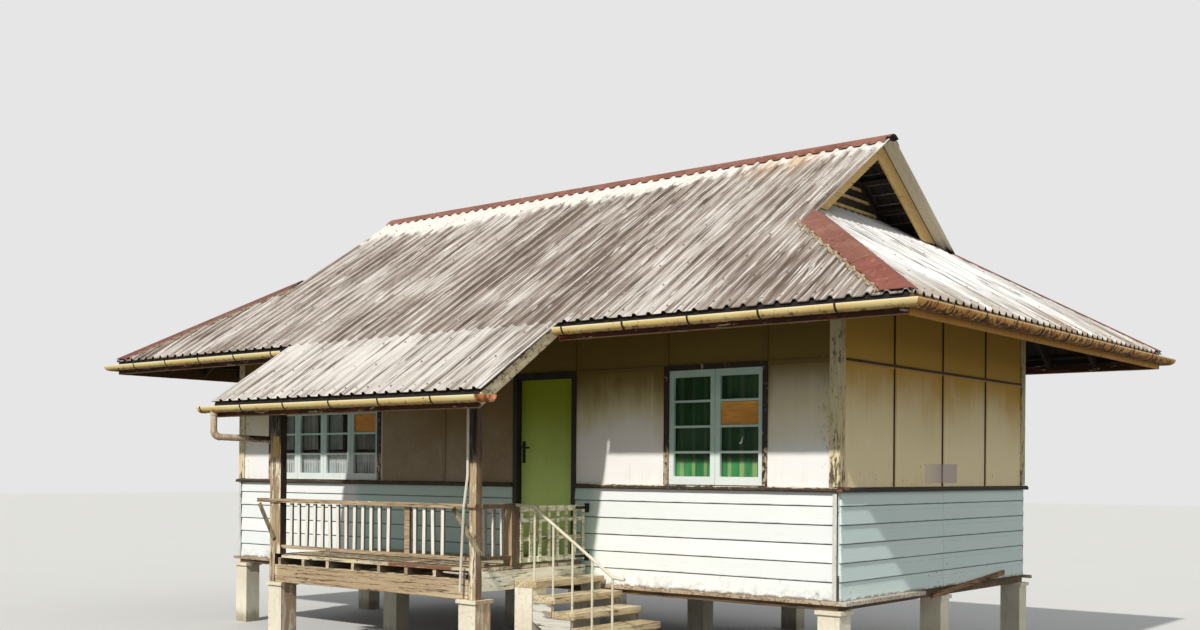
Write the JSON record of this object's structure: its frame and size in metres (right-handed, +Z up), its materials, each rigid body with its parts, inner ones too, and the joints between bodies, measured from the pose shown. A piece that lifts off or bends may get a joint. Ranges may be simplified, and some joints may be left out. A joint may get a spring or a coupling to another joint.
{
  "type": "timber stilt house",
  "caption": "Raised timber house on concrete piers with a hipped roof ending in small open gables, a roofed porch, outside steps and a slatted gate.",
  "frame": {"origin": "on the ground, under the middle of the whole building's outline, gutters included", "axes": "+Z up, +X to the right along the front wall, +Y from front to rear; the porch and the door face -Y"},
  "size_m": [11.8966, 8.7866, 5.9689],
  "materials": {
    "concrete": "weathered cast concrete",
    "white_paint": "white painted, chipped and stained",
    "grey_timber": "bare, weathered grey",
    "brown_timber": "brown stained timber",
    "floor_timber": "worn boards",
    "wall_panel": "cream and tan painted panel, streaked",
    "pale_siding": "pale aqua paint, weathered",
    "dark_frame": "dark brown paint",
    "pale_sash": "pale aqua paint",
    "glass": "clear window glass",
    "black_paint": "black paint",
    "lime_paint": "lime green gloss paint, faded",
    "black_metal": "black metal",
    "roof_sheet": "galvanised ribbed sheet, dull",
    "rust_sheet": "rusted sheet",
    "cream_paint": "cream yellow paint, peeling",
    "gutter_metal": "cream yellow painted metal with rust",
    "pipe_metal": "white painted steel pipe",
    "white_plastic": "white plastic pipe"
  },
  "bodies": {
    "house": {"house_piers": "concrete", "porch_piers": "concrete", "bearers": "grey_timber", "foot_boards": "grey_timber", "floor_joists": "grey_timber", "floor": "floor_timber", "front_wall_left": "wall_panel", "front_wall_over_door": "wall_panel", "front_wall_right": "wall_panel", "rear_wall": "wall_panel", "left_end_wall": "wall_panel", "right_end_wall": "wall_panel", "lap_siding": "pale_siding", "sill_belt": "dark_frame", "corner_boards": "white_paint", "panel_battens": "wall_panel", "window_frames": "dark_frame", "window_sashes": "pale_sash", "window_glass": "glass", "door_frame": "black_paint", "door_hinges": "black_metal", "rafters": "brown_timber", "hip_rafters": "brown_timber", "roof_battens": "brown_timber", "roof_front": "roof_sheet", "roof_rear": "roof_sheet", "roof_ends": "roof_sheet", "porch_roof": "roof_sheet", "ridge_cap": "rust_sheet", "hip_flashings": "rust_sheet", "bargeboards": "cream_paint", "gablet_infill": "grey_timber", "fascias": "brown_timber", "gutters": "gutter_metal", "gutter_straps": "black_metal", "porch_beams": "grey_timber", "porch_joists": "grey_timber", "porch_deck": "grey_timber", "porch_posts": "grey_timber", "porch_rails": "grey_timber", "porch_balusters": "white_paint", "stair_strings": "white_paint", "stair_treads": "grey_timber", "stair_handrail": "pipe_metal", "gate_pins": "black_metal", "downpipes": "white_plastic", "loose_boards": "grey_timber"},
    "door": {"door_leaf": "lime_paint", "door_handle": "black_metal", "door_leaf_hinges": "black_metal"},
    "gate": {"gate": "grey_timber", "gate_straps": "black_metal"}
  },
  "joints": [
    {"name": "door_hinge", "type": "hinge", "parent": "house", "child": "door", "pos_m": [1.352, -1.753, 2.2], "axis": [0, 0, -1], "range_deg": [0, 95]},
    {"name": "gate_hinge", "type": "hinge", "parent": "house", "child": "gate", "pos_m": [1.593, -1.91, 1.48], "axis": [0, 0, 1], "range_deg": [0, 90]}
  ]
}
